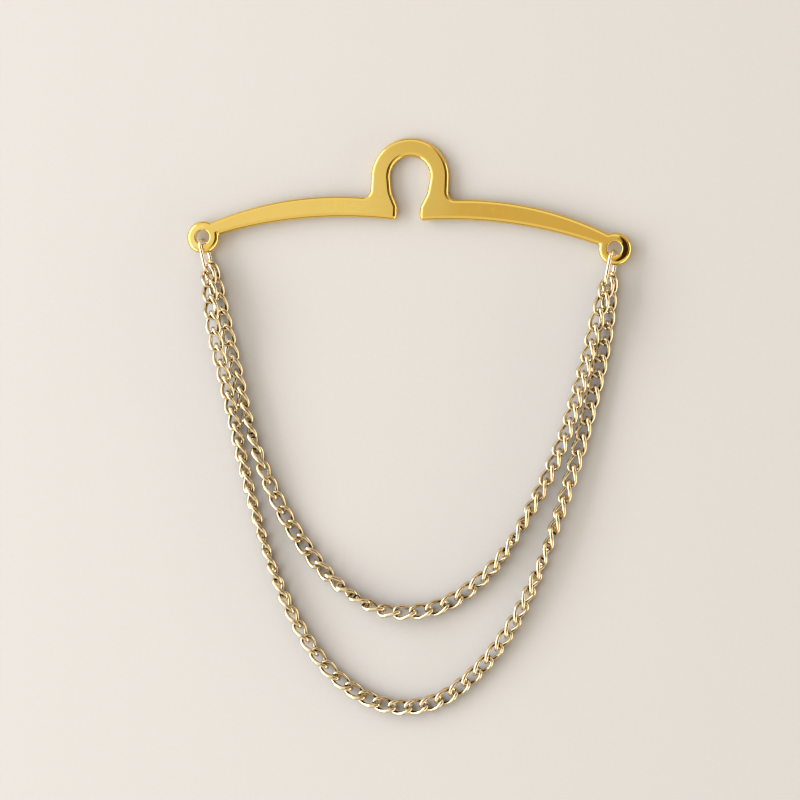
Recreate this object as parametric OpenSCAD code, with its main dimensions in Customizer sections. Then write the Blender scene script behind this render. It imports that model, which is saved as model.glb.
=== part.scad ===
// Tie chain: an arched bar with an open loop that slips behind a shirt button,
// an eye at each end, and two curb chains of different length that hang from
// two jump rings. It lies on a flat surface, face up: across is X, the loop
// points along +Y and the thickness is Z.
// Every size is in millimetres and every angle in degrees.

/* [Bar] */
// Distance between the centres of the two eyes
eye_spacing = 62.7; // [50:0.1:75]
// Thickness of the plate that the bar is stamped from
plate_thickness = 1.1; // [0.9:0.05:1.3]
// Radius of the arc along the top edge of each arm
arm_top_radius = 49.3; // [46:0.1:56]
// Radius of the arc along the lower edge of each arm
arm_under_radius = 68.5; // [62:0.1:76]
// Height of the top edge above the eye line at its highest
arm_top_height = 6.8; // [6.4:0.05:7.4]
// Height of the lower edge above the eye line at its highest
arm_under_height = 3.68; // [3.2:0.01:3.9]
// Radius of the fillet between the loop and the top edge of an arm
loop_fillet = 1.1; // [0.6:0.05:1.6]

/* [Eyes] */
// Outer diameter of an eye
eye_diameter = 4.95; // [4.4:0.05:5.6]
// Diameter of the hole through an eye
eye_hole = 2.17; // [1.9:0.01:2.4]
// Height of the eyes' back face above the surface, held up by the rings
eye_lift = 0.88; // [0.8:0.02:0.96]

/* [Button loop] */
// Outer diameter of the loop
loop_diameter = 11.88; // [10.5:0.02:13]
// Height of the loop's centre above the eye line
loop_height = 9.9; // [9.2:0.05:10.8]
// Diameter of the round hole in the loop, for the shank of a button
loop_hole = 6.02; // [5:0.02:7]
// Height of the round hole's centre above the eye line
hole_height = 10.05; // [9.6:0.05:10.8]
// Diameter of the lower round that the hole narrows to, above the neck
waist_diameter = 5.56; // [5:0.02:5.9]
// Height of the lower round's centre above the eye line
waist_height = 8.3; // [7.8:0.05:9]
// Width of the neck that the thread of a button slides through
neck_width = 3.44; // [2.4:0.02:4]
// Height above the eye line at which the neck starts to widen
neck_top = 5.4; // [4.8:0.05:5.5]
// Radius of the two corners at the mouth of the neck
mouth_radius = 0.65; // [0.4:0.05:0.8]

/* [Jump rings] */
// Diameter of the wire of a jump ring
ring_wire = 0.55; // [0.4:0.01:0.6]
// Half length of a ring along the centre of its wire
ring_half_length = 2.58; // [2.5:0.01:2.8]
// Radius of the two turns of a ring, along the centre of its wire
ring_turn = 1.23; // [1.2:0.01:1.35]
// Angle by which a ring leans from upright
ring_lean = 15; // [10:1:16]

/* [Chains] */
// Thickness of the wire of a link, across its corners
link_wire = 0.65; // [0.6:0.01:0.66]
// Half length of a link along the centre of its wire
link_half_length = 1.67; // [1.65:0.01:1.7]
// Half width of a link along the centre of its wire
link_half_width = 0.95; // [0.92:0.01:1]
// Twist of each end of a link out of the plane of its middle
link_twist = 53; // [50:1:56]
// Distance from one link to the next along the chain
link_pitch = 2.44; // [2.4:0.01:2.5]
// Exponent of the rounded oval of a link: 2 is an ellipse and more is squarer
link_square = 2.6; // [2.4:0.05:2.8]
// Corners of the wire's section
wire_sides = 5; // [5:1:6]
// Stretches that a link is divided into, all the way round
link_stations = 12; // [10:2:12]

/* [Hidden] */
$fn = 72;

// Place of the eye line in Y, so that the origin is under the middle of the part
eye_line = 27.5;
// Room left between the surface and what lies on it
surface_gap = 0.05;
// Facets of the long shallow arcs of the bar, so that they stay smooth
arc_fn = 720;
// Overlap of a corner's sliver with the metal or the gap beside it
corner_overlap = 0.3;
// How far the circle of a rounded corner dips into its two edges, which it crosses
corner_bite = 0.01;

half_spacing = eye_spacing / 2;
loop_radius = loop_diameter / 2;
crown = loop_height + loop_radius;
bar_tilt = asin(eye_lift / crown);
neck_half = neck_width / 2;
// Distance from the middle of the bar to the centres of the arms' two arcs
arm_top_offset = 9.6;
arm_under_offset = 8.1;

// Where each ring lies: the sideways and downward offset of its centre from
// the centre of its eye, and the angle of its length from straight down
// columns: offset across, offset up, angle
ring_left_place = [0.61, -2.82, 15];
ring_right_place = [-0.47, -2.87, -9];
ring_height = surface_gap + ring_wire / 2 + ring_turn * cos(ring_lean);

// Routes of the two chains from the left ring to the right ring
// columns: across, up from the eye line, roll about the run, extra height
long_route = [
    [-30.06,  -5.75,   2, 1.5],
    [-28.9,  -13.3,   20, 2.35],
    [-27.0,  -21.75,  38, 0.76],
    [-24.7,  -31.15,  50, 0],
    [-21.95, -40.9,   65, 0],
    [-18.9,  -49.3,   85, 0],
    [-14.8,  -57.65, 115, 0],
    [ -9.75, -64.3,  140, 0],
    [ -3.7,  -68.45, 160, 0],
    [  2.1,  -69.5,  175, 0],
    [  8.0,  -67.75, 190, 0],
    [ 13.45, -62.9,  210, 0],
    [ 17.8,  -56.65, 230, 0],
    [ 21.3,  -48.95, 260, 0],
    [ 23.85, -41.3,  295, 0],
    [ 26.2,  -32.9,  325, 0],
    [ 28.1,  -24.7,  345, 0],
    [ 29.6,  -17.3,  350, 0],
    [ 30.45, -10.85, 354, -0.42],
    [ 30.75,  -5.25, 362, 0.12]
];
short_route = [
    [-29.85,  -5.15,  -5, 0.13],
    [-27.7,  -12.4,   23, -0.52],
    [-25.5,  -20.35,  38, 0],
    [-23.25, -28.05,  70, 0],
    [-20.4,  -35.5,  120, 0],
    [-16.75, -42.35, 160, 0],
    [-12.3,  -48.25, 200, 0],
    [ -7.85, -52.2,  250, 0],
    [ -2.65, -54.85, 292, 0.08],
    [  2.65, -55.2,  330, 0.12],
    [  7.95, -53.65, 366, 0.05],
    [ 13.1,  -49.7,  410, 0],
    [ 16.7,  -45.2,  440, 0],
    [ 19.55, -40.05, 475, 0],
    [ 22.4,  -34.15, 500, 0],
    [ 25.0,  -27.3,  505, 0.3],
    [ 26.85, -20.3,  500, 0.6],
    [ 28.25, -14.4,  500, 0.8],
    [ 29.5,   -9.35, 528, 1.72],
    [ 30.35,  -5.8,  540, 1.44]
];

// Bar

// One arm from the middle of the bar to the centre of its eye, on the +X side
module arm_outline() {
    intersection() {
        translate([neck_half, 0]) square([half_spacing - neck_half, arm_top_height + 1]);
        difference() {
            translate([arm_top_offset, arm_top_height - arm_top_radius])
                circle(r = arm_top_radius, $fn = arc_fn);
            translate([arm_under_offset, arm_under_height - arm_under_radius])
                circle(r = arm_under_radius, $fn = arc_fn);
        }
    }
}

// Sliver between an upright edge at x = side, the long arc that it meets and a
// circle that touches both: it fills an inner corner or rounds an outer one
module corner_sliver(side, arc_offset, arc_height, arc_radius, radius) {
    run = side + radius - arc_offset;
    rise = sqrt(pow(arc_radius + radius, 2) - pow(run, 2));
    middle = [side + radius, arc_height - arc_radius + rise] - [corner_bite, corner_bite];
    depth = radius + corner_overlap;
    difference() {
        translate(middle - [depth, depth]) square(depth);
        translate(middle) circle(r = radius);
    }
}

// Point on the right of a circle on the middle line, at an angle below level
function circle_side(diameter, height, drop_angle) =
    [diameter / 2 * cos(drop_angle), height - diameter / 2 * sin(drop_angle)];

// Round hole, its narrower lower round, the sides that draw in and the open neck
module keyhole_outline() {
    draw_in = asin((loop_hole - waist_diameter) / 2 / (hole_height - waist_height));
    corner_drop = waist_height - neck_top;
    corner_reach = norm([neck_half, corner_drop]);
    taper = atan2(corner_drop, neck_half) - acos(waist_diameter / 2 / corner_reach);
    right_side = [
        circle_side(loop_hole, hole_height, draw_in),
        circle_side(waist_diameter, waist_height, draw_in),
        circle_side(waist_diameter, waist_height, taper),
        [neck_half, neck_top]
    ];
    translate([0, hole_height]) circle(d = loop_hole);
    translate([0, waist_height]) circle(d = waist_diameter);
    polygon([
        for (p = right_side) p,
        for (i = [len(right_side) - 1 : -1 : 0]) [-right_side[i][0], right_side[i][1]]
    ]);
    translate([-neck_half, 0]) square([neck_width, neck_top]);
    for (side = [0, 1]) mirror([side, 0])
        corner_sliver(neck_half, arm_under_offset, arm_under_height,
            arm_under_radius, mouth_radius);
}

module bar_outline() {
    difference() {
        union() {
            for (side = [0, 1]) mirror([side, 0]) {
                arm_outline();
                corner_sliver(loop_radius, arm_top_offset, arm_top_height,
                    arm_top_radius, loop_fillet);
                translate([half_spacing, 0]) circle(d = eye_diameter);
            }
            translate([0, loop_height]) circle(r = loop_radius);
            translate([-loop_radius, arm_under_height + 0.5])
                square([loop_diameter, loop_height - arm_under_height - 0.5]);
        }
        keyhole_outline();
    }
}

module bar() {
    color("gold")
    translate([0, eye_line, eye_lift])
    rotate([-bar_tilt, 0, 0])
    difference() {
        linear_extrude(plate_thickness) bar_outline();
        for (side = [-1, 1])
            translate([side * half_spacing, 0, -1])
                cylinder(d = eye_hole, h = plate_thickness + 2);
    }
}

// Jump rings

// Oval ring of round wire, flat in the plane of X and Y and long in X
module oval_ring() {
    straight = ring_half_length - ring_turn;
    for (side = [-1, 1]) {
        translate([-straight, side * ring_turn, 0])
            rotate([0, 90, 0])
            cylinder(d = ring_wire, h = 2 * straight, $fn = 48);
        translate([side * straight, 0, 0])
            rotate([0, 0, -90 * side])
            rotate_extrude(angle = 180)
            translate([ring_turn, 0])
            circle(d = ring_wire, $fn = 48);
    }
}

// Stands the ring on the surface, leaning, with its upper turn in the eye
module placed_ring(eye_x, place) {
    translate([eye_x + place[0], eye_line + place[1], ring_height])
        rotate([0, 0, place[2] - 90])
        rotate([90 + ring_lean, 0, 0])
        oval_ring();
}

module jump_ring_left() {
    color("palegoldenrod") placed_ring(-half_spacing, ring_left_place);
}

module jump_ring_right() {
    color("palegoldenrod") placed_ring(half_spacing, ring_right_place);
}

// Chains

function signed_power(v, e) = sign(v) * pow(abs(v), e);

// Place along and across the flat oval of a link, at an angle round it
function oval_along(a) = link_half_length * signed_power(cos(a), 2 / link_square);
function oval_across(a) = link_half_width * signed_power(sin(a), 2 / link_square);

// Turn of the link's plane at that place, from its roll and its twist
function plane_turn(a, roll) = roll - link_twist * oval_along(a) / link_half_length;

// Height of the middle of a link that rests on the surface at a roll
function resting_height(roll) =
    surface_gap + link_wire / 2
    + max([for (a = [0:15:345]) abs(oval_across(a) * sin(plane_turn(a, roll)))]);

// Smooth curve through the rows of a route table
function route_row(table, i) =
    i < 0 ? 2 * table[0] - table[1]
    : i >= len(table) ? 2 * table[len(table) - 1] - table[len(table) - 2]
    : table[i];
function smooth(a, b, c, d, f) =
    0.5 * (2 * b + (c - a) * f + (2 * a - 5 * b + 4 * c - d) * f * f
    + (3 * b - a - 3 * c + d) * f * f * f);
function route_at(table, t) =
    let (i = min(floor(t), len(table) - 2))
    smooth(route_row(table, i - 1), route_row(table, i),
        route_row(table, i + 1), route_row(table, i + 2), t - i);
function spot_at(table, t) =
    let (r = route_at(table, t))
    [r[0], eye_line + r[1], resting_height(r[2]) + max(r[3], 0)];

// Run of the route in plan against its parameter, for lookup
function plan_step(table, k, steps) =
    let (a = route_at(table, (k - 1) / steps), b = route_at(table, k / steps))
    norm([b[0] - a[0], b[1] - a[1]]);
function run_table(table, steps = 12) =
    let (last = steps * (len(table) - 1))
    [for (k = 0, s = 0; k <= last; k = k + 1, s = s + plan_step(table, k, steps))
        [s, k / steps]];

function unit(v) = v / norm(v);

// Directions of a link: along the run, across it in plan, and off the surface
function link_axes(table, t) =
    let (
        reach = 0.15,
        along = unit(spot_at(table, min(t + reach, len(table) - 1))
            - spot_at(table, max(t - reach, 0))),
        across = unit(cross([0, 0, 1], along))
    )
    [along, across, cross(along, across)];

// Point on the centre of the link's wire, from the link's middle
function wire_centre(axes, roll, a) =
    oval_along(a) * axes[0]
    + oval_across(a) * cos(plane_turn(a, roll)) * axes[1]
    + oval_across(a) * sin(plane_turn(a, roll)) * axes[2];

// One corner of the wire's section: k-th corner at the angle a round the link
function wire_corner(axes, roll, a, k) =
    let (
        half_step = 180 / link_stations,
        centre = wire_centre(axes, roll, a),
        run = unit(wire_centre(axes, roll, a + half_step)
            - wire_centre(axes, roll, a - half_step)),
        outward = unit(centre - run * (centre * run)),
        sideways = cross(run, outward),
        turn = 360 * k / wire_sides
    )
    centre + link_wire / 2 * (cos(turn) * outward + sin(turn) * sideways);

function link_points(middle, axes, roll) = [
    for (j = [0:link_stations - 1]) for (k = [0:wire_sides - 1])
        middle + wire_corner(axes, roll, 360 * j / link_stations, k)
];

// Corner number k of station j in the link that starts at point number first
function corner_id(first, j, k) =
    first + (j % link_stations) * wire_sides + k % wire_sides;
function link_faces(first) = [
    for (j = [0:link_stations - 1]) for (k = [0:wire_sides - 1]) for (half = [0, 1])
        half == 0
        ? [corner_id(first, j, k), corner_id(first, j + 1, k), corner_id(first, j, k + 1)]
        : [corner_id(first, j + 1, k), corner_id(first, j + 1, k + 1),
            corner_id(first, j, k + 1)]
];

// Every link of one chain, as closed loops of wire that pass through each other
module chain(table) {
    runs = run_table(table);
    length = runs[len(runs) - 1][0];
    count = round(length / link_pitch) + 1;
    by_run = [for (r = runs) [r[0], r[1]]];
    per_link = link_stations * wire_sides;
    points = [
        for (i = [0:count - 1])
        let (t = lookup(length * i / (count - 1), by_run))
        each link_points(spot_at(table, t), link_axes(table, t), route_at(table, t)[2])
    ];
    faces = [for (i = [0:count - 1]) each link_faces(i * per_link)];
    polyhedron(points = points, faces = faces, convexity = 10);
}

module chain_short() {
    color("wheat") chain(short_route);
}

module chain_long() {
    color("wheat") chain(long_route);
}

bar();
jump_ring_left();
jump_ring_right();
chain_short();
chain_long();
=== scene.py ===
"""Tie chain, lying face up on a pale surface.

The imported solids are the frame. This script puts the visible pieces round them:
a stamped bar with rounded rims, two jump rings of round wire and two curb chains,
each with its own polished gold finish, and a small studio to look at them in.
"""

import logging
import math
import random
from collections.abc import Callable
from dataclasses import dataclass, field
from enum import Enum

import bpy
import numpy as np
from mathutils import Matrix, Vector


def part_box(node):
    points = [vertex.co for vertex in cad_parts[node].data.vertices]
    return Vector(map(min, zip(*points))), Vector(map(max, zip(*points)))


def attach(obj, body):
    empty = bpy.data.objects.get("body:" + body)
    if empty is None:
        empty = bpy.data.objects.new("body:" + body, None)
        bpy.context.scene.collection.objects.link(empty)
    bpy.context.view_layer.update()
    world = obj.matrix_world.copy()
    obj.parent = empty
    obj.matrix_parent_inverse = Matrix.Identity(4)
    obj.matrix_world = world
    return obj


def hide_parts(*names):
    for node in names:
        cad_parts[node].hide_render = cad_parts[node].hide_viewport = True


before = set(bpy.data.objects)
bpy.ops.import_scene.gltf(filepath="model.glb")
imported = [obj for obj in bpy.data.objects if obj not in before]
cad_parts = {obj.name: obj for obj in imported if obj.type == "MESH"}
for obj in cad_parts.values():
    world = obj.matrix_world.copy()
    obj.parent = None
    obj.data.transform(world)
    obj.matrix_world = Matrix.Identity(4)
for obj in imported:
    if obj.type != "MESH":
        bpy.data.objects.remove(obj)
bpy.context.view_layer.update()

MM = 0.001
WELD = 0.01 * MM
LINK_TONE = "link_tone"
# Point attribute of painted shade on the chain: darker on the wire's inner side and underneath.
PAINTED_SHADE = "painted_shade"

Tone = tuple[float, float, float, float]
Span = tuple[float, float]

log = logging.getLogger("tie_chain")


# Objects and edit mode


def deselect_all() -> None:
    """Leaves no object selected."""
    bpy.ops.object.select_all(action="DESELECT")


def pick(piece: bpy.types.Object) -> None:
    """Makes one object the active and the only selected one.

    Args:
        piece: The object to pick.
    """
    deselect_all()
    piece.select_set(True)
    bpy.context.view_layer.objects.active = piece


def rename(piece: bpy.types.Object, name: str) -> None:
    """Gives an object and its mesh the same name."""
    piece.name = name
    piece.data.name = name


def apply_modifier(piece: bpy.types.Object, kind: str, **settings: object) -> None:
    """Adds a modifier, sets it and applies it.

    Args:
        piece: The object that the modifier shapes.
        kind: Blender's name for the modifier.
        settings: The modifier's properties and their values.
    """
    pick(piece)
    modifier = piece.modifiers.new(kind.title(), kind)
    for key, value in settings.items():
        setattr(modifier, key, value)
    bpy.ops.object.modifier_apply(modifier=modifier.name)


def place_mesh(piece: bpy.types.Object, place: Matrix) -> None:
    """Moves a mesh to its place and leaves its object at the origin.

    Args:
        piece: The object, at the origin and unturned.
        place: Where its mesh goes.
    """
    pick(piece)
    piece.matrix_world = place
    bpy.ops.object.transform_apply(location=True, rotation=True, scale=True)


class Pen:
    """Draws an outline with Blender's own operators, from one vertex onwards."""

    def __init__(self, start: Vector) -> None:
        """Puts the pen down.

        Args:
            start: The first point of the outline, in the plane z = 0.
        """
        deselect_all()
        bpy.ops.mesh.primitive_plane_add(size=MM)
        self.piece = bpy.context.object
        self.at = start.copy()
        bpy.ops.object.mode_set(mode="EDIT")
        bpy.ops.mesh.select_all(action="SELECT")
        bpy.ops.mesh.merge(type="CENTER")
        bpy.ops.transform.translate(value=(start.x, start.y, 0))

    def line(self, end: Vector) -> None:
        """Draws a straight line.

        Args:
            end: The point that the line ends at.
        """
        step = end - self.at
        bpy.ops.mesh.extrude_region_move(TRANSFORM_OT_translate={"value": (step.x, step.y, 0)})
        self.at = end.copy()

    def arc(self, centre: Vector, end: Vector, clockwise: bool, longest_step: float) -> None:
        """Draws an arc to a point as far from the centre as the pen is.

        Args:
            centre: The arc's centre.
            end: The point that the arc ends at.
            clockwise: The way that the pen goes round the centre.
            longest_step: The longest straight step that the arc may hold.
        """
        arm, goal = self.at - centre, end - centre
        turn = math.atan2(arm.x * goal.y - arm.y * goal.x, arm.dot(goal))
        if clockwise and turn > 0:
            turn -= math.tau
        if not clockwise and turn < 0:
            turn += math.tau
        steps = max(2, math.ceil(abs(turn) * arm.length / longest_step))
        bpy.ops.mesh.spin(
            steps=steps,
            angle=abs(turn),
            center=(centre.x, centre.y, 0),
            axis=(0, 0, 1 if clockwise else -1),
        )
        self.at = end.copy()

    def lift(self) -> bpy.types.Object:
        """Closes the outline into one face and leaves edit mode.

        Returns:
            The object that holds the face.
        """
        bpy.ops.mesh.select_all(action="SELECT")
        bpy.ops.mesh.edge_face_add()
        bpy.ops.object.mode_set(mode="OBJECT")
        return self.piece


def on_circle(centre: Vector, radius: float, angle: float) -> Vector:
    """Gives the point of a circle at an angle from the direction of X."""
    return centre + Vector((math.cos(angle), math.sin(angle))) * radius


def circles_meet(a: Vector, a_radius: float, b: Vector, b_radius: float, side: int) -> Vector:
    """Finds one of the two points where two circles meet.

    Args:
        a: Centre of the first circle.
        a_radius: Its radius.
        b: Centre of the second circle.
        b_radius: Its radius.
        side: 1 for the point to the left of the way from a to b, -1 for the other.

    Returns:
        The point.
    """
    way = b - a
    along = (way.length_squared + a_radius**2 - b_radius**2) / (2 * way.length)
    off = math.sqrt(a_radius**2 - along**2)
    ahead = way.normalized()
    return a + ahead * along + Vector((-ahead.y, ahead.x)) * off * side


# Shader nodes


class Shade:
    """A number in a shader, on which Python's arithmetic adds Math nodes."""

    def __init__(self, recipe: "NodeKit", socket: bpy.types.NodeSocket) -> None:
        """Wraps a socket.

        Args:
            recipe: The node tree that the socket belongs to.
            socket: An output that carries a number.
        """
        self.recipe = recipe
        self.socket = socket

    def _math(self, operation: str, first: object, second: object) -> "Shade":
        """Adds a Math node and wraps its result."""
        node = self.recipe.node("ShaderNodeMath", {"operation": operation}, {0: first, 1: second})
        return Shade(self.recipe, node.outputs[0])

    def __add__(self, other: object) -> "Shade":
        """self + other"""
        return self._math("ADD", self, other)

    def __radd__(self, other: object) -> "Shade":
        """other + self"""
        return self._math("ADD", other, self)

    def __sub__(self, other: object) -> "Shade":
        """self - other"""
        return self._math("SUBTRACT", self, other)

    def __rsub__(self, other: object) -> "Shade":
        """other - self"""
        return self._math("SUBTRACT", other, self)

    def __mul__(self, other: object) -> "Shade":
        """self * other"""
        return self._math("MULTIPLY", self, other)

    def __rmul__(self, other: object) -> "Shade":
        """other * self"""
        return self._math("MULTIPLY", other, self)

    def __abs__(self) -> "Shade":
        """self without its sign"""
        return self._math("ABSOLUTE", self, 0.0)

    def __lt__(self, other: object) -> "Shade":
        """1 where self is less than other, else 0"""
        return self._math("LESS_THAN", self, other)


class NodeKit:
    """A node tree under way."""

    def __init__(self, tree: bpy.types.NodeTree) -> None:
        """Starts from an empty tree."""
        self.tree = tree
        self.tree.nodes.clear()

    def node(
        self,
        kind: str,
        settings: dict[str, object] | None = None,
        values: dict[object, object] | None = None,
    ) -> bpy.types.Node:
        """Adds a node.

        Args:
            kind: Blender's name for the node.
            settings: Properties that are set first; "stops" fills a colour ramp.
            values: Values or links for its input sockets, by name or number.

        Returns:
            The node.
        """
        made = self.tree.nodes.new(kind)
        for key, value in (settings or {}).items():
            if key == "stops":
                self._fill_ramp(made.color_ramp, value)
            else:
                setattr(made, key, value)
        for key, value in (values or {}).items():
            self.feed(made.inputs[key], value)
        return made

    def feed(self, socket: bpy.types.NodeSocket, value: object) -> None:
        """Links a socket to an output, or sets its value.

        Args:
            socket: The input socket.
            value: A wrapped number, an output socket, or a plain value.
        """
        if isinstance(value, Shade):
            value = value.socket
        if isinstance(value, bpy.types.NodeSocket):
            self.tree.links.new(value, socket)
        else:
            socket.default_value = value

    @staticmethod
    def _fill_ramp(ramp: bpy.types.ColorRamp, stops: list[tuple[float, float]]) -> None:
        """Sets a ramp's stops.

        Args:
            ramp: The ramp of a colour ramp node.
            stops: A place and a grey level for each stop, in order.
        """
        while len(ramp.elements) < len(stops):
            ramp.elements.new(1.0)
        for element, (spot, grey) in zip(ramp.elements, stops):
            element.position = spot
            element.color = (grey, grey, grey, 1)

    def rise(self, amount: Shade, span: Span) -> Shade:
        """Stretches a part of a number's range, in a straight ramp.

        Args:
            amount: The number.
            span: The values that become 0 and 1.

        Returns:
            The number from 0 to 1.
        """
        stops = [(span[0], 0), (span[1], 1)]
        node = self.node("ShaderNodeValToRGB", {"stops": stops}, {"Fac": amount})
        return Shade(self, node.outputs["Color"])

    def step(self, amount: Shade, span: Span) -> Shade:
        """Makes a soft step from a number.

        Args:
            amount: The number.
            span: Where the step begins and ends. The end may be below the beginning.

        Returns:
            0 before the span and 1 past its end.
        """
        values = {"Value": amount, "From Min": span[0], "From Max": span[1]}
        node = self.node("ShaderNodeMapRange", {"interpolation_type": "SMOOTHSTEP"}, values)
        return Shade(self, node.outputs["Result"])

    def mix(self, amount: Shade, first: object, second: object) -> bpy.types.NodeSocket:
        """Mixes two colours.

        Args:
            amount: 0 for the first and 1 for the second.
            first: A colour or a colour output.
            second: A colour or a colour output.

        Returns:
            The mixed colour's output.
        """
        node = self.node("ShaderNodeMix", {"data_type": "RGBA"}, {0: amount, 6: first, 7: second})
        return node.outputs[2]


class Recipe(NodeKit):
    """One material's nodes, which end in a Principled shader."""

    def __init__(self, name: str) -> None:
        """Starts an empty material.

        Args:
            name: The material's name.
        """
        self.material = bpy.data.materials.new(name)
        self.material.use_nodes = True
        super().__init__(self.material.node_tree)
        self.shader = self.node("ShaderNodeBsdfPrincipled")
        end = self.node("ShaderNodeOutputMaterial")
        self.feed(end.inputs["Surface"], self.shader.outputs["BSDF"])
        self.place = self.node("ShaderNodeTexCoord").outputs["Object"]

    def noise(self, size: float, detail: float, stretch: Vector | None = None) -> Shade:
        """Adds soft noise on object coordinates.

        Args:
            size: The width of a patch, in metres.
            detail: How many finer octaves it has.
            stretch: How much longer a patch is along each axis.

        Returns:
            The noise, from 0 to 1 and mostly near a half.
        """
        place = self.place
        if stretch is not None:
            squeeze = Vector([1 / s for s in stretch])
            mapping = self.node("ShaderNodeMapping", None, {"Vector": place, "Scale": squeeze})
            place = mapping.outputs["Vector"]
        values = {"Vector": place, "Scale": 1 / size, "Detail": detail}
        return Shade(self, self.node("ShaderNodeTexNoise", None, values).outputs["Fac"])

    def attribute(self, name: str) -> Shade:
        """Reads a number that the mesh carries at its points."""
        node = self.node("ShaderNodeAttribute", {"attribute_name": name})
        return Shade(self, node.outputs["Fac"])

    def bump(self, height: Shade, depth: float) -> None:
        """Gives the surface a fine relief.

        Args:
            height: The relief, in parts of the depth.
            depth: How high a relief of 1 is, in metres.
        """
        values = {"Height": height, "Distance": depth, "Strength": 1.0}
        node = self.node("ShaderNodeBump", None, values)
        self.feed(self.shader.inputs["Normal"], node.outputs["Normal"])


@dataclass(frozen=True)
class GoldFinish:
    """A polished gold plating with the small faults that handling leaves.

    Heights and the specks' depth are in parts of a hairline's depth, and the specks'
    radius is in parts of their spacing.
    """

    name: str
    slot: str
    tone: Tone
    warm_tone: Tone
    roughness: float
    roughness_spread: float
    hairline_depth: float
    speck_share: float
    is_chain: bool = False
    patch_size: float = 9 * MM
    patch_range: Span = (0.35, 0.65)
    link_share: float = 0.6
    # Colour of the chain's painted shade, on the wire's inner side and underneath.
    painted_shade_tone: Tone = (0.12, 0.065, 0.02, 1)
    grain_size: float = 0.12 * MM
    grain_height: float = 0.2
    hairline_width: float = 0.05 * MM
    hairline_stretch: float = 40.0
    hairline_range: Span = (0.72, 0.78)
    hairline_roughness: float = 0.08
    speck_spacing: float = 0.8 * MM
    speck_radius: float = 0.07
    speck_depth: float = 2.0
    speck_roughness: float = 0.3
    speck_tone: Tone = (0.12, 0.07, 0.03, 1)

    def material(self) -> bpy.types.Material:
        """Builds the material.

        Returns:
            The material, with every pattern on object coordinates.
        """
        recipe = Recipe(self.name)
        patches = recipe.rise(recipe.noise(self.patch_size, detail=3), self.patch_range)
        if self.is_chain:
            link_tone = recipe.attribute(LINK_TONE)
            patches = patches * (1 - self.link_share) + link_tone * self.link_share
        colour = recipe.mix(patches, self.tone, self.warm_tone)
        if self.is_chain:
            # Painted shade on the chain: darker on the wire's inner side and where it faces
            # sideways and down.
            colour = recipe.mix(recipe.attribute(PAINTED_SHADE), colour, self.painted_shade_tone)
        specks = self._specks(recipe)
        colour = recipe.mix(specks, colour, self.speck_tone)
        hairlines = self._hairlines(recipe)
        grain = recipe.noise(self.grain_size, detail=2)
        rough = self.roughness + (patches - 0.5) * self.roughness_spread
        rough = rough + hairlines * self.hairline_roughness + specks * self.speck_roughness
        shader = recipe.shader
        recipe.feed(shader.inputs["Base Color"], colour)
        recipe.feed(shader.inputs["Roughness"], rough)
        shader.inputs["Metallic"].default_value = 1.0
        height = grain * self.grain_height - hairlines - specks * self.speck_depth
        recipe.bump(height, self.hairline_depth)
        return recipe.material

    def _hairlines(self, recipe: Recipe) -> Shade:
        """Adds fine scratches that run two ways.

        Args:
            recipe: The material under way.

        Returns:
            1 on a scratch and 0 beside it.
        """
        long, wide = self.hairline_stretch, 1.0
        along = recipe.noise(self.hairline_width, 0, Vector((long, wide, long)))
        across = recipe.noise(self.hairline_width, 0, Vector((wide, long, long)))
        return recipe.rise(along, self.hairline_range) + recipe.rise(across, self.hairline_range)

    def _specks(self, recipe: Recipe) -> Shade:
        """Adds sparse pin-prick pits in the plating.

        Args:
            recipe: The material under way.

        Returns:
            1 in a pit and 0 outside it.
        """
        values = {"Vector": recipe.place, "Scale": 1 / self.speck_spacing}
        cells = recipe.node("ShaderNodeTexVoronoi", None, values)
        split = recipe.node("ShaderNodeSeparateColor", None, {0: cells.outputs["Color"]})
        near = Shade(recipe, cells.outputs["Distance"]) < self.speck_radius
        chosen = Shade(recipe, split.outputs[0]) < self.speck_share
        return near * chosen


class Finish(Enum):
    """The finishes of the object, one for each slot of the record."""

    BAR = GoldFinish(
        name="bar_gold",
        slot="bar_gold",
        tone=(0.83, 0.58, 0.145, 1),
        warm_tone=(0.82, 0.567, 0.138, 1),
        roughness=0.04,
        roughness_spread=0.012,
        hairline_depth=0.0002 * MM,
        speck_share=0.04,
    )
    RING = GoldFinish(
        name="ring_gold",
        slot="ring_gold",
        tone=(0.93, 0.80, 0.58, 1),
        warm_tone=(0.91, 0.76, 0.52, 1),
        roughness=0.1,
        roughness_spread=0.04,
        hairline_depth=0.001 * MM,
        speck_share=0.02,
        patch_size=1.5 * MM,
    )
    CHAIN = GoldFinish(
        name="chain_gold",
        slot="chain_gold",
        tone=(0.82, 0.69, 0.45, 1),
        warm_tone=(0.78, 0.62, 0.35, 1),
        roughness=0.08,
        roughness_spread=0.03,
        hairline_depth=0.001 * MM,
        speck_share=0.02,
        is_chain=True,
        patch_size=1.2 * MM,
    )

    def dress(self, piece: bpy.types.Object) -> None:
        """Gives a piece this finish, on its body and in its slot.

        Args:
            piece: The finished piece.
        """
        piece.data.materials.clear()
        piece.data.materials.append(self.value.material())
        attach(piece, "root")


# The bar


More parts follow.
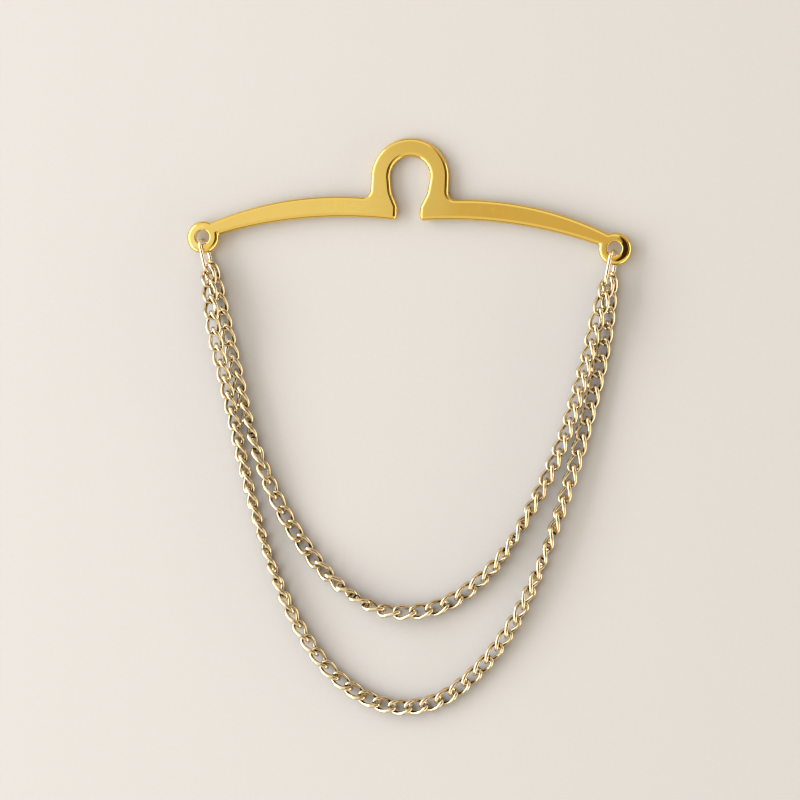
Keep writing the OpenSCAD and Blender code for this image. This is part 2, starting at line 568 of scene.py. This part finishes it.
@dataclass
class Bar:
    """The stamped bar: two arms, an eye at each end and the open button loop.

    Sizes are in metres, from the middle of the line between the eyes.
    """

    eye_spacing: float = 62.7 * MM
    eye_hole_radius: float = 2.17 / 2 * MM
    thickness: float = 1.1 * MM
    top_arc_radius: float = 49.3 * MM
    top_arc_offset: float = 9.6 * MM
    top_arc_height: float = 6.8 * MM
    under_arc_radius: float = 68.5 * MM
    under_arc_offset: float = 8.1 * MM
    under_arc_height: float = 3.68 * MM
    loop_radius: float = 11.88 / 2 * MM
    loop_height: float = 9.9 * MM
    loop_fillet: float = 1.1 * MM
    hole_radius: float = 6.02 / 2 * MM
    hole_height: float = 10.05 * MM
    waist_radius: float = 5.56 / 2 * MM
    waist_height: float = 8.3 * MM
    neck_half: float = 3.44 / 2 * MM
    neck_top: float = 5.4 * MM
    mouth_radius: float = 0.65 * MM
    rim_radius: float = 0.6 * MM
    rim_segments: int = 8
    lower_rim_share: float = 0.4
    hole_rim_radius: float = 0.2 * MM
    hole_rim_segments: int = 4
    eye_lift: float = 0.88 * MM
    dip_centre: float = -1.6 * MM
    dip_start: float = 1.9 * MM
    dip_onset: float = 1.2 * MM
    dip_curve: float = 0.053 / MM
    dip_cut_span: Span = (-0.6 * MM, 1.2 * MM)
    dip_cuts: int = 9
    longest_step: float = 0.25 * MM
    straight_angle: float = math.radians(0.05)
    hole_sides: int = 72
    same_place: float = 0.005 * MM

    def build(self) -> bpy.types.Object:
        """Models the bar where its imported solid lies.

        Returns:
            The bar.
        """
        piece = self._plate()
        self._round_edges(piece, self._outline_weight, self.rim_radius, self.rim_segments)
        self._pierce_eyes(piece)
        self._round_edges(piece, self._hole_weight, self.hole_rim_radius, self.hole_rim_segments)
        self._dip_tips(piece)
        apply_modifier(piece, "WEIGHTED_NORMAL", mode="FACE_AREA", weight=100)
        rename(piece, "polished_bar")
        place_mesh(piece, self._place())
        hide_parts("bar")
        Finish.BAR.dress(piece)
        return piece

    def _place(self) -> Matrix:
        """Turns the bar down onto its loop's crown, with the eyes lifted by the rings.

        Returns:
            Where the bar's mesh goes.
        """
        crown = self.loop_height + self.loop_radius
        tilt = math.asin(self.eye_lift / crown)
        low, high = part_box("bar")
        top_of_crown = high[1]
        eye_line = top_of_crown - crown * math.cos(tilt) - self.thickness * math.sin(tilt)
        move = Matrix.Translation((0, eye_line, self.eye_lift + low[2]))
        return move @ Matrix.Rotation(-tilt, 4, "X")

    def _plate(self) -> bpy.types.Object:
        """Draws the outline of the +X half, thickens it and mirrors it.

        Returns:
            The plate with sharp edges and no holes, from z = 0 up.
        """
        eye = Vector((self.eye_spacing / 2, 0))
        top = Vector((self.top_arc_offset, self.top_arc_height - self.top_arc_radius))
        under = Vector((self.under_arc_offset, self.under_arc_height - self.under_arc_radius))
        loop = Vector((0, self.loop_height))
        fillet = self._corner_centre(self.loop_radius, top, self.top_arc_radius, self.loop_fillet)
        mouth = self._corner_centre(self.neck_half, under, self.under_arc_radius, self.mouth_radius)
        fillet_end = top + (fillet - top).normalized() * self.top_arc_radius
        mouth_start = under + (mouth - under).normalized() * self.under_arc_radius
        step = self.longest_step

        pen = Pen(loop + Vector((0, self.loop_radius)))
        pen.arc(loop, loop + Vector((self.loop_radius, 0)), True, step)
        pen.line(Vector((self.loop_radius, fillet.y)))
        pen.arc(fillet, fillet_end, False, step)
        eye_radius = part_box("bar")[1][0] - eye.x
        eye_top = circles_meet(top, self.top_arc_radius, eye, eye_radius, 1)
        pen.arc(top, eye_top, True, step)
        eye_under = circles_meet(under, self.under_arc_radius, eye, eye_radius, 1)
        pen.arc(eye, eye_under, True, step)
        pen.arc(under, mouth_start, False, step)
        pen.arc(mouth, Vector((self.neck_half, mouth.y)), True, step)
        pen.line(Vector((self.neck_half, self.neck_top)))
        self._draw_hole(pen)
        piece = pen.lift()
        apply_modifier(piece, "SOLIDIFY", thickness=self.thickness, offset=1)
        self._stand_on_zero(piece)
        self._open_middle(piece)
        apply_modifier(piece, "MIRROR", use_axis=(True, False, False), merge_threshold=WELD)
        bpy.ops.object.mode_set(mode="EDIT")
        bpy.ops.mesh.select_all(action="SELECT")
        bpy.ops.mesh.dissolve_limited(angle_limit=self.straight_angle)
        bpy.ops.mesh.normals_make_consistent(inside=False)
        bpy.ops.object.mode_set(mode="OBJECT")
        return piece

    def _corner_centre(self, side: float, arc: Vector, radius: float, corner: float) -> Vector:
        """Finds the centre of a corner's circle, which touches an arc and an upright line.

        Args:
            side: The line's x.
            arc: Centre of the arc.
            radius: Radius of the arc.
            corner: Radius of the corner's circle.

        Returns:
            The centre, outside the arc and to the right of the line.
        """
        x = side + corner
        return Vector((x, arc.y + math.sqrt((radius + corner) ** 2 - (x - arc.x) ** 2)))

    def _draw_hole(self, pen: Pen) -> None:
        """Draws the right side of the loop's hole: a taper, the narrower round and the wide one.

        Args:
            pen: The pen, at the top of the neck.
        """
        hole = Vector((0, self.hole_height))
        waist = Vector((0, self.waist_height))
        corner = pen.at - waist
        taper = math.atan2(corner.y, corner.x) + math.acos(self.waist_radius / corner.length)
        drop = self.hole_height - self.waist_height
        side = -math.asin((self.hole_radius - self.waist_radius) / drop)
        pen.line(on_circle(waist, self.waist_radius, taper))
        pen.arc(waist, on_circle(waist, self.waist_radius, side), False, self.longest_step)
        pen.line(on_circle(hole, self.hole_radius, side))
        pen.arc(hole, on_circle(hole, self.hole_radius, math.pi / 2), False, self.longest_step)

    def _stand_on_zero(self, piece: bpy.types.Object) -> None:
        """Moves the plate so that its back lies in the plane z = 0."""
        lowest = min(v.co.z for v in piece.data.vertices)
        place_mesh(piece, Matrix.Translation((0, 0, -lowest)))

    def _open_middle(self, piece: bpy.types.Object) -> None:
        """Deletes the face of the half plate that its mirrored half joins on to.

        Args:
            piece: The half plate.
        """
        pick(piece)
        bpy.ops.object.mode_set(mode="EDIT")
        bpy.ops.mesh.select_all(action="DESELECT")
        bpy.ops.object.mode_set(mode="OBJECT")
        for vertex in piece.data.vertices:
            vertex.select = abs(vertex.co.x) < self.same_place
        bpy.ops.object.mode_set(mode="EDIT")
        bpy.ops.mesh.delete(type="ONLY_FACE")
        bpy.ops.object.mode_set(mode="OBJECT")

    def _pierce_eyes(self, piece: bpy.types.Object) -> None:
        """Cuts the round hole through each eye.

        Args:
            piece: The whole plate.
        """
        for side in (-1, 1):
            deselect_all()
            bpy.ops.mesh.primitive_cylinder_add(
                vertices=self.hole_sides,
                radius=self.eye_hole_radius,
                depth=3 * self.thickness,
                location=(side * self.eye_spacing / 2, 0, self.thickness / 2),
            )
            punch = bpy.context.object
            apply_modifier(piece, "BOOLEAN", operation="DIFFERENCE", solver="EXACT", object=punch)
            bpy.data.objects.remove(punch)

    def _dip_tips(self, piece: bpy.types.Object) -> None:
        """Domes the face of each eye a little towards the tip.

        Args:
            piece: The pierced plate with its rims, its back in the plane z = 0.
        """
        eye = self.eye_spacing / 2
        pick(piece)
        bpy.ops.object.mode_set(mode="EDIT")
        for spot in np.linspace(*self.dip_cut_span, self.dip_cuts) + eye:
            for side in (-1, 1):
                bpy.ops.mesh.select_all(action="SELECT")
                bpy.ops.mesh.bisect(plane_co=(side * spot, 0, 0), plane_no=(1, 0, 0))
        bpy.ops.object.mode_set(mode="OBJECT")
        for vertex in piece.data.vertices:
            x = abs(vertex.co.x) - eye
            past = max(0.0, math.hypot(x - self.dip_centre, vertex.co.y) - self.dip_start)
            share = min(1.0, max(0.0, x / self.dip_onset + 1))
            drop = self.dip_curve * past**2 * share
            vertex.co.z *= 1 - drop / self.thickness

    def _outline_weight(self, a: Vector, b: Vector) -> float:
        """Says how much of the rim's radius an edge of the plain plate gets.

        Args:
            a: One end of the edge.
            b: The other end.

        Returns:
            1 on the face, less on the back and 0 on the upright edges.
        """
        if abs(a.z - b.z) > self.same_place:
            return 0.0
        return 1.0 if a.z > self.thickness / 2 else self.lower_rim_share

    def _hole_weight(self, a: Vector, b: Vector) -> float:
        """Says how much of the hole rim's radius an edge of the pierced plate gets.

        Args:
            a: One end of the edge.
            b: The other end.

        Returns:
            1 on both rims of an eye's hole and 0 elsewhere.
        """
        eye = Vector((self.eye_spacing / 2, 0))
        reaches = [(Vector((abs(end.x), end.y)) - eye).length for end in (a, b)]
        on_rim = all(abs(reach - self.eye_hole_radius) < self.same_place for reach in reaches)
        level = abs(a.z - b.z) < self.same_place
        return 1.0 if on_rim and level else 0.0

    def _round_edges(
        self,
        piece: bpy.types.Object,
        weight: Callable[[Vector, Vector], float],
        radius: float,
        segments: int,
    ) -> None:
        """Rounds some edges.

        Args:
            piece: The plate.
            weight: Gives each edge its share of the radius.
            radius: The full radius.
            segments: Faces across the rounding.
        """
        mesh = piece.data
        name = "bevel_weight_edge"
        weights = mesh.attributes.get(name) or mesh.attributes.new(name, "FLOAT", "EDGE")
        for edge in mesh.edges:
            a, b = (mesh.vertices[i].co for i in edge.vertices)
            weights.data[edge.index].value = weight(a, b)
        pick(piece)
        bpy.ops.object.shade_smooth()
        apply_modifier(
            piece,
            "BEVEL",
            limit_method="WEIGHT",
            width=radius,
            segments=segments,
            use_clamp_overlap=False,
        )


# The jump rings


@dataclass
class JumpRing:
    """An oval ring of round wire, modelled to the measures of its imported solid."""

    node: str
    name: str
    wire_sides: int = 20
    turn_steps: int = 28

    def build(self) -> bpy.types.Object:
        """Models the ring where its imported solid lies.

        Returns:
            The ring.
        """
        solid = SolidFit.of_points(mesh_points(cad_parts[self.node]))
        length, width, wire = solid.size
        piece = self._oval(length, width, wire)
        rename(piece, self.name)
        place_mesh(piece, solid.place)
        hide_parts(self.node)
        Finish.RING.dress(piece)
        return piece

    def _oval(self, length: float, width: float, wire: float) -> bpy.types.Object:
        """Draws the ring flat: straight runs along X, joined by two half turns.

        Args:
            length: Length over all.
            width: Width over all.
            wire: Thickness of the wire.

        Returns:
            The ring, about the origin.
        """
        turn = (width - wire) / 2
        straight = length - width
        deselect_all()
        bpy.ops.mesh.primitive_circle_add(
            vertices=self.wire_sides,
            radius=wire / 2,
            location=(-straight / 2, turn, 0),
            rotation=(0, math.radians(90), 0),
        )
        piece = bpy.context.object
        bpy.ops.object.transform_apply(location=True, rotation=True, scale=True)
        bpy.ops.object.mode_set(mode="EDIT")
        bpy.ops.mesh.select_all(action="SELECT")
        for side in (1, -1):
            step = {"value": (side * straight, 0, 0)}
            bpy.ops.mesh.extrude_region_move(TRANSFORM_OT_translate=step)
            bpy.ops.mesh.spin(
                steps=self.turn_steps,
                angle=math.pi,
                center=(side * straight / 2, 0, 0),
                axis=(0, 0, 1),
            )
        bpy.ops.mesh.select_all(action="SELECT")
        bpy.ops.mesh.remove_doubles(threshold=WELD)
        bpy.ops.mesh.normals_make_consistent(inside=False)
        bpy.ops.object.mode_set(mode="OBJECT")
        bpy.ops.object.shade_smooth()
        return piece


# The chains


def mesh_points(piece: bpy.types.Object) -> np.ndarray:
    """Reads a mesh's vertices.

    Args:
        piece: The object that holds the mesh.

    Returns:
        A row of X, Y and Z for each vertex.
    """
    flat = np.empty(len(piece.data.vertices) * 3)
    piece.data.vertices.foreach_get("co", flat)
    return flat.reshape(-1, 3)


@dataclass
class SolidFit:
    """How one closed solid lies: its middle, its three main directions and its size."""

    place: Matrix
    size: tuple[float, float, float]

    @classmethod
    def of_points(cls, points: np.ndarray) -> "SolidFit":
        """Fits a solid's points, longest direction first.

        Args:
            points: The solid's vertices.

        Returns:
            The fit, with right-handed directions.
        """
        centred = points - points.mean(axis=0)
        directions = np.linalg.eigh(centred.T @ centred)[1][:, ::-1]
        if np.linalg.det(directions) < 0:
            directions[:, 2] *= -1
        along = points @ directions
        low, high = along.min(axis=0), along.max(axis=0)
        middle = directions @ ((low + high) / 2)
        place = Matrix(directions.tolist()).to_4x4()
        place.translation = Vector(middle)
        return cls(place, tuple((high - low).tolist()))


@dataclass
class CurbLink:
    """One link: a rounded oval of round wire whose ends are twisted out of its plane."""

    half_length: float = 1.67 * MM
    half_width: float = 0.95 * MM
    wire: float = 0.63 * MM
    twist: float = math.radians(53)
    squareness: float = 2.6
    stations: int = 30
    sides: int = 10

    def build(self) -> bpy.types.Object:
        """Models the link about the origin, long along X and flat in X and Y.

        Returns:
            The link.
        """
        deselect_all()
        bpy.ops.mesh.primitive_torus_add(
            major_segments=self.stations,
            minor_segments=self.sides,
            major_radius=self.half_width,
            minor_radius=self.wire / 2,
        )
        piece = bpy.context.object
        # Painted shade on the inner side of the wire.
        self._paint_inner_shade(piece)
        for vertex in piece.data.vertices:
            vertex.co = self._moved(vertex.co)
        bpy.ops.object.shade_smooth()
        return piece

    def _paint_inner_shade(self, piece: bpy.types.Object) -> None:
        """Marks painted shade on the inner side of the wire, as if the link's hollow lay in shade.

        Args:
            piece: The plain torus, before it is moved.
        """
        reach = [self.half_width - math.hypot(v.co.x, v.co.y) for v in piece.data.vertices]
        painted_shade = piece.data.attributes.new(PAINTED_SHADE, "FLOAT", "POINT")
        painted_shade.data.foreach_set("value", [max(0.0, r) / (self.wire / 2) for r in reach])

    def _centre(self, angle: float) -> Vector:
        """Finds a point on the centre line of the wire.

        Args:
            angle: The point's angle on the plain torus.

        Returns:
            The point on the twisted oval.
        """
        power = 2 / self.squareness
        x = self.half_length * math.copysign(abs(math.cos(angle)) ** power, math.cos(angle))
        reach = self.half_width * math.copysign(abs(math.sin(angle)) ** power, math.sin(angle))
        turn = -self.twist * x / self.half_length
        return Vector((x, reach * math.cos(turn), reach * math.sin(turn)))

    def _moved(self, spot: Vector) -> Vector:
        """Carries a point of the plain torus over to the twisted oval.

        Args:
            spot: The point on the torus.

        Returns:
            The point on the link.
        """
        angle = math.atan2(spot.y, spot.x)
        out = math.hypot(spot.x, spot.y) - self.half_width
        half_step = math.pi / self.stations
        centre = self._centre(angle)
        run = (self._centre(angle + half_step) - self._centre(angle - half_step)).normalized()
        outward = (centre - run * centre.dot(run)).normalized()
        return centre + outward * out + outward.cross(run) * spot.z


@dataclass
class CurbChain:
    """A curb chain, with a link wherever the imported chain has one."""

    node: str
    name: str
    seed: int
    link: CurbLink = field(default_factory=CurbLink)
    # Heights of the normal over which the painted shade fades in; it is full below the first.
    painted_shade_slopes: Span = (-0.2, 0.42)
    inner_share: float = 0.35
    solid_weld: float = 0.001 * MM

    def build(self) -> bpy.types.Object:
        """Models the chain's links and joins them as one piece.

        Returns:
            The chain.
        """
        model = self.link.build()
        tones = random.Random(self.seed)
        links = []
        for place in self._link_places():
            copy = model.copy()
            copy.data = model.data.copy()
            bpy.context.collection.objects.link(copy)
            place_mesh(copy, place)
            tone = copy.data.attributes.new(LINK_TONE, "FLOAT", "POINT")
            tone.data.foreach_set("value", [tones.random()] * len(copy.data.vertices))
            # Painted shade where the placed link faces sideways and down.
            self._paint_under_shade(copy)
            links.append(copy)
        bpy.data.objects.remove(model)
        deselect_all()
        for link in links:
            link.select_set(True)
        bpy.context.view_layer.objects.active = links[0]
        bpy.ops.object.join()
        piece = bpy.context.object
        rename(piece, self.name)
        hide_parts(self.node)
        Finish.CHAIN.dress(piece)
        return piece

    def _paint_under_shade(self, link: bpy.types.Object) -> None:
        """Adds painted shade to the parts of a placed link that face sideways and down.

        Args:
            link: The link, with painted shade on its inner side.
        """
        low, high = self.painted_shade_slopes
        for value, vertex in zip(link.data.attributes[PAINTED_SHADE].data, link.data.vertices):
            under = min(1.0, max(0.0, (high - vertex.normal.z) / (high - low)))
            value.value = 1 - (1 - under) * (1 - self.inner_share * value.value)

    def _link_places(self) -> list[Matrix]:
        """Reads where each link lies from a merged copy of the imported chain.

        Returns:
            A place for each link.
        """
        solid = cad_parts[self.node]
        copy = solid.copy()
        copy.data = solid.data.copy()
        bpy.context.collection.objects.link(copy)
        pick(copy)
        bpy.ops.object.mode_set(mode="EDIT")
        bpy.ops.mesh.select_all(action="SELECT")
        bpy.ops.mesh.remove_doubles(threshold=self.solid_weld)
        bpy.ops.mesh.separate(type="LOOSE")
        bpy.ops.object.mode_set(mode="OBJECT")
        parts = list(bpy.context.selected_objects)
        places = [SolidFit.of_points(mesh_points(part)).place for part in parts]
        for part in parts:
            bpy.data.objects.remove(part)
        return sorted(places, key=lambda place: (place.translation.x, place.translation.y))


# The studio


@dataclass
class SoftBox:
    """An oblong soft light that faces a point."""

    name: str
    place: Vector
    aim: Vector
    width: float
    height: float
    glow: float

    def build(self) -> None:
        """Hangs the light, as bright in a mirror as its glow says."""
        lamp = bpy.data.lights.new(self.name, "AREA")
        lamp.shape = "RECTANGLE"
        lamp.size = self.width
        lamp.size_y = self.height
        lamp.energy = self.glow * math.pi * self.width * self.height
        holder = bpy.data.objects.new(self.name, lamp)
        bpy.context.collection.objects.link(holder)
        holder.location = self.place
        holder.rotation_euler = (self.aim - self.place).to_track_quat("-Z", "Y").to_euler()


@dataclass
class Room:
    """The soft room that the gold mirrors.

    A tone is the light of one part of the room. A span is where that part fades in or, if
    it is named end, fades out. It is measured on a direction of length 1, which goes
    across to the right, ahead to the loop's side and up.
    """

    ceiling_tone: Tone = (1.0, 1.0, 1.0, 1)
    glare_tone: Tone = (1.12, 1.24, 1.5, 1)
    glare_across: Span = (-0.21, -0.3)
    dusk_tone: Tone = (0.83, 0.80, 0.73, 1)
    dusk_across: Span = (-0.187, -0.171)
    crown_tone: Tone = (0.78, 0.73, 0.62, 1)
    crown_ahead: Span = (0.163, 0.176)
    patch_tone: Tone = (0.75, 0.63, 0.42, 1)
    patch_across: Span = (-0.1639, -0.1627)
    patch_ahead: Span = (0.09, 0.11)
    patch_end: Span = (0.22, 0.2)
    back_tone: Tone = (1.1, 1.06, 1.0, 1)
    back_ahead: Span = (0.22, 0.4)
    front_tone: Tone = (0.95, 0.88, 0.76, 1)
    front_ahead: Span = (0.08, -0.1)
    low_tone: Tone = (0.30, 0.24, 0.18, 1)
    low_up: Span = (0.5, 0.2)
    low_across: Span = (-0.6, -0.3)
    wall_tone: Tone = (0.05, 0.025, 0.015, 1)
    wall_across: Span = (-0.12, 0.0)
    wall_bend: float = 0.35
    strip_tone: Tone = (0.9, 0.72, 0.58, 1)
    strip_up: Span = (0.675, 0.7)
    strip_end: Span = (0.785, 0.76)
    corner_tone: Tone = (0.95, 0.78, 0.6, 1)
    corner_ahead: Span = (-0.2, -0.32)
    nook_tone: Tone = (0.8, 0.6, 0.4, 1)
    nook_ahead: Span = (0.45, 0.6)
    nook_up: Span = (0.68, 0.58)
    sill_tone: Tone = (4.2, 4.0, 3.6, 1)
    sill_up: Span = (0.27, 0.21)
    sill_across: Span = (0.3, 0.5)
    sill_end: Span = (0.6, 0.45)

    def build(self) -> None:
        """Fills the room with light: bright on the left and overhead, dark on the right."""
        world = bpy.data.worlds.new("studio")
        world.use_nodes = True
        kit = NodeKit(world.node_tree)
        way = kit.node("ShaderNodeTexCoord").outputs["Generated"]
        split = kit.node("ShaderNodeSeparateXYZ", None, {0: way})
        across, ahead, up = (Shade(kit, split.outputs[axis]) for axis in ("X", "Y", "Z"))
        ceiling = self._ceiling(kit, across, ahead, up)
        wall = self._wall(kit, across, ahead, up)
        on_wall = kit.step(across - abs(ahead) * self.wall_bend, self.wall_across)
        colour = kit.mix(on_wall, ceiling, wall)
        backdrop = kit.node("ShaderNodeBackground", None, {"Color": colour, "Strength": 1.0})
        end = kit.node("ShaderNodeOutputWorld")
        kit.feed(end.inputs["Surface"], backdrop.outputs[0])
        bpy.context.scene.world = world

    def _ceiling(
        self, kit: NodeKit, across: Shade, ahead: Shade, up: Shade
    ) -> bpy.types.NodeSocket:
        """Colours the left side and the ceiling, whose warm patch the bar's face mirrors.

        Args:
            kit: The world's node tree.
            across: How far a direction goes to the right.
            ahead: How far it goes to the loop's side.
            up: How far it goes up.

        Returns:
            The colour's output.
        """
        colour = kit.mix(kit.step(across, self.glare_across), self.ceiling_tone, self.glare_tone)
        dusk = kit.step(across, self.dusk_across)
        colour = kit.mix(dusk, colour, self.dusk_tone)
        colour = kit.mix(dusk * kit.step(ahead, self.crown_ahead), colour, self.crown_tone)
        patch = kit.step(across, self.patch_across) * kit.step(ahead, self.patch_ahead)
        colour = kit.mix(patch * kit.step(ahead, self.patch_end), colour, self.patch_tone)
        colour = kit.mix(kit.step(ahead, self.back_ahead), colour, self.back_tone)
        colour = kit.mix(kit.step(ahead, self.front_ahead), colour, self.front_tone)
        low = kit.step(up, self.low_up) * kit.step(across, self.low_across)
        return kit.mix(low, colour, self.low_tone)

    def _wall(self, kit: NodeKit, across: Shade, ahead: Shade, up: Shade) -> bpy.types.NodeSocket:
        """Colours the dark right wall, with a strip, two lighter corners and a bright sill.

        Args:
            kit: The world's node tree.
            across: How far a direction goes to the right.
            ahead: How far it goes to the loop's side.
            up: How far it goes up.

        Returns:
            The colour's output.
        """
        strip = kit.step(up, self.strip_up) * kit.step(up, self.strip_end)
        wall = kit.mix(strip, self.wall_tone, self.strip_tone)
        wall = kit.mix(kit.step(ahead, self.corner_ahead), wall, self.corner_tone)
        nook = kit.step(ahead, self.nook_ahead) * kit.step(up, self.nook_up)
        wall = kit.mix(nook, wall, self.nook_tone)
        sill = kit.step(up, self.sill_up) * kit.step(across, self.sill_across)
        return kit.mix(sill * kit.step(ahead, self.sill_end), wall, self.sill_tone)


@dataclass
class Studio:
    """The pale floor, the soft lights and the camera at the photograph's angle."""

    room: Room = field(default_factory=Room)
    key_place: Vector = field(default_factory=lambda: Vector((-0.62, 0, 0.30)))
    key_width: float = 1.2
    key_height: float = 0.34
    key_glow: float = 4.5
    lean: float = math.radians(10)
    roll: float = math.radians(2)
    distance: float = 600 * MM
    view_width: float = 120 * MM
    sensor: float = 36
    aim: Vector = field(default_factory=lambda: Vector((-0.367, 3.99, 0.8)) * MM)
    floor_size: float = 1.6
    floor_tone: Tone = (0.70, 0.69, 0.675, 1)
    floor_shade: float = 0.96
    floor_roughness: float = 0.9
    floor_tooth: float = 0.6 * MM
    floor_tooth_height: float = 0.02 * MM

    def build(self) -> None:
        """Sets up the whole studio."""
        self._floor()
        self.room.build()
        key = SoftBox(
            name="left_key",
            place=self.key_place,
            aim=self.aim,
            width=self.key_width,
            height=self.key_height,
            glow=self.key_glow,
        )
        key.build()
        self._camera()
        bpy.context.scene.view_settings.view_transform = "Standard"

    def _floor(self) -> None:
        """Lays the plain pale surface that the object rests on."""
        deselect_all()
        bpy.ops.mesh.primitive_plane_add(size=self.floor_size)
        floor = bpy.context.object
        rename(floor, "floor")
        recipe = Recipe("floor_paper")
        tooth = recipe.noise(self.floor_tooth, detail=4)
        darker = tuple(part * self.floor_shade for part in self.floor_tone[:3]) + (1,)
        recipe.feed(recipe.shader.inputs["Base Color"], recipe.mix(tooth, self.floor_tone, darker))
        recipe.shader.inputs["Roughness"].default_value = self.floor_roughness
        recipe.bump(tooth, self.floor_tooth_height)
        floor.data.materials.append(recipe.material)

    def _camera(self) -> None:
        """Aims the camera nearly straight down, leaning to the right."""
        towards = Vector((math.sin(self.lean), 0, math.cos(self.lean)))
        level = Vector((math.cos(self.lean), 0, -math.sin(self.lean)))
        ahead = Vector((0, 1, 0))
        across = level * math.cos(self.roll) + ahead * math.sin(self.roll)
        up = ahead * math.cos(self.roll) - level * math.sin(self.roll)
        lens = bpy.data.cameras.new("camera")
        lens.sensor_width = self.sensor
        lens.lens = self.sensor * self.distance / self.view_width
        holder = bpy.data.objects.new("camera", lens)
        bpy.context.collection.objects.link(holder)
        place = Matrix((across, up, towards)).transposed().to_4x4()
        place.translation = self.aim + towards * self.distance
        holder.matrix_world = place
        bpy.context.scene.camera = holder


def main() -> None:
    """Builds the studio and each piece."""
    logging.basicConfig(level=logging.INFO, format="%(name)s: %(message)s")
    Studio().build()
    makers = [
        Bar(),
        JumpRing("jump_ring_left", "wire_ring_left"),
        JumpRing("jump_ring_right", "wire_ring_right"),
        CurbChain("chain_short", "short_curb_chain", seed=11),
        CurbChain("chain_long", "long_curb_chain", seed=12),
    ]
    for maker in makers:
        piece = maker.build()
        log.info("%s: %d faces", piece.name, len(piece.data.polygons))


if __name__ == "__main__":
    main()
